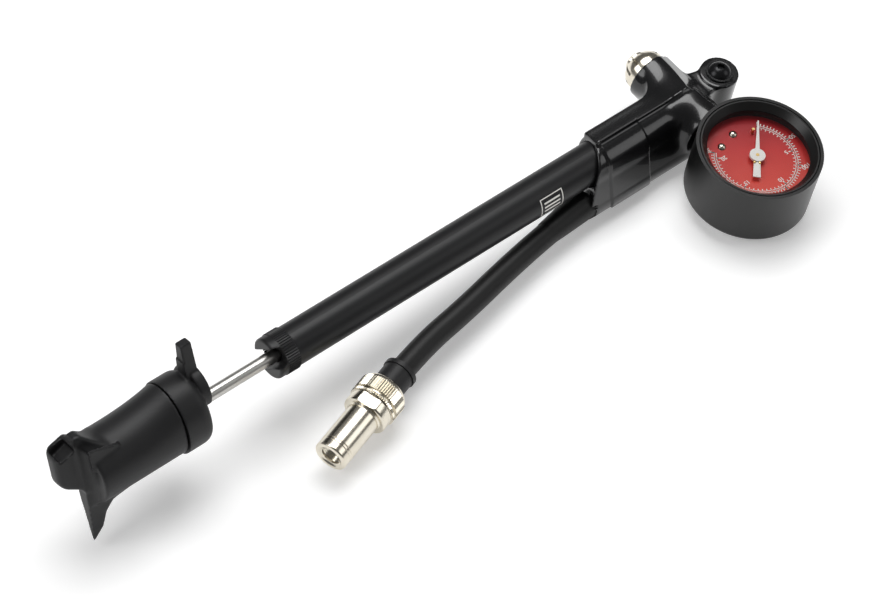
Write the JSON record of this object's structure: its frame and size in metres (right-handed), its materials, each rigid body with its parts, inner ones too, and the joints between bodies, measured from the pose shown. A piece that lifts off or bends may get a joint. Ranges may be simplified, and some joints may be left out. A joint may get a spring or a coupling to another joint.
{
  "type": "hand air pump",
  "caption": "Hand-held high-pressure suspension pump: slim barrel, plunger handle with thumb tab, dial gauge, bleed button, and a short hose with a threaded valve coupler.",
  "frame": {"origin": "centre of the barrel's clip seat, on the barrel's axis", "axes": "+X along the barrel towards the head, +Y from the gauge towards the bleed valve, +Z the gauge's dial normal"},
  "size_m": [0.3263, 0.0941, 0.0602],
  "materials": {
    "black_anodised": "matte black anodised aluminium",
    "black_gloss_paint": "glossy black enamel on a casting",
    "black_matte_paint": "satin black paint",
    "black_steel": "black oxide steel",
    "black_plastic": "fine moulded black plastic",
    "black_rubber": "smooth black rubber",
    "nickel": "warm nickel plate",
    "bright_steel": "ground steel",
    "spring_steel": "drawn wire",
    "brass": "machined brass",
    "lens": "clear window",
    "red_dial": "printed red dial",
    "white_paint": "white paint"
  },
  "bodies": {
    "pump": {"barrel_tube": "black_anodised", "barrel_cap": "black_anodised", "rod_bushing": "brass", "rod_wiper": "black_rubber", "head_casting": "black_gloss_paint", "tube_seal": "black_rubber", "valve_seat": "brass", "lug_screw": "black_steel", "lug_washer": "black_gloss_paint", "gauge_case": "black_matte_paint", "gauge_bezel": "black_matte_paint", "gauge_lens": "lens", "lens_spacer": "black_plastic", "gauge_dial": "red_dial", "dial_screws": "nickel", "needle_stop": "brass", "movement_frame": "brass", "bourdon_tube": "brass", "gauge_stem": "brass", "bleed_body": "nickel", "hose": "black_rubber", "hose_boot": "black_rubber", "hose_barb": "brass", "coupler_ferrule": "black_plastic", "bleed_spring": "spring_steel", "valve_spring": "spring_steel"},
    "seal_ring": {"piston_seal": "black_rubber"},
    "plunger": {"piston_rod": "bright_steel", "piston_head": "black_plastic", "grip": "black_plastic", "collar_clip": "spring_steel", "rod_nut": "brass"},
    "lock_collar": {"lock_collar": "black_plastic"},
    "check_ball": {"valve_ball": "bright_steel"},
    "needle": {"gauge_needle": "white_paint", "pinion": "brass"},
    "sector": {"sector_gear": "brass"},
    "bleed_button": {"bleed_button": "nickel", "bleed_seal": "black_rubber"},
    "coupler": {"coupler_nut": "nickel", "coupler_nozzle": "nickel", "valve_seal": "black_rubber", "push_pin": "nickel"}
  },
  "joints": [
    {"name": "rod_slide", "type": "slide", "parent": "pump", "child": "seal_ring", "axis": [1, 0, 0], "range_m": [-0.116, 0.0325]},
    {"name": "handle_turn", "type": "hinge", "parent": "seal_ring", "child": "plunger", "pos_m": [0, 0, 0], "axis": [1, 0, 0], "continuous": true},
    {"name": "lock_collar_turn", "type": "hinge", "parent": "plunger", "child": "lock_collar", "pos_m": [-0.1195, 0, 0], "axis": [1, 0, 0], "range_deg": [0, 60]},
    {"name": "check_ball_lift", "type": "slide", "parent": "pump", "child": "check_ball", "axis": [1, 0, 0], "range_m": [0, 0.0008], "stiffness_N_per_m": 60, "springref_m": -0.001, "deforming": ["valve_spring"]},
    {"name": "sector_swing", "type": "hinge", "parent": "pump", "child": "sector", "pos_m": [0.1112, -0.04, 0.005], "axis": [0, 0, 1], "range_deg": [0, 54], "stiffness_Nm_per_rad": 0.004, "springref_deg": -2.86},
    {"name": "needle_sweep", "type": "hinge", "parent": "pump", "child": "needle", "pos_m": [0.1262, -0.04, 0.01], "axis": [0, 0, 1], "range_deg": [-270, 0]},
    {"name": "bleed_push", "type": "slide", "parent": "pump", "child": "bleed_button", "axis": [0, -1, 0], "range_m": [0, 0.0015], "stiffness_N_per_m": 700, "springref_m": -0.002, "deforming": ["bleed_spring"]},
    {"name": "coupler_spin", "type": "hinge", "parent": "pump", "child": "coupler", "pos_m": [-0.0438, -0.0277, -0.0141], "axis": [-0.9576, -0.2873, -0.0202], "continuous": true}
  ],
  "couplings": [
    {"joint": "needle_sweep", "follows": "sector_swing", "ratio": -5}
  ]
}
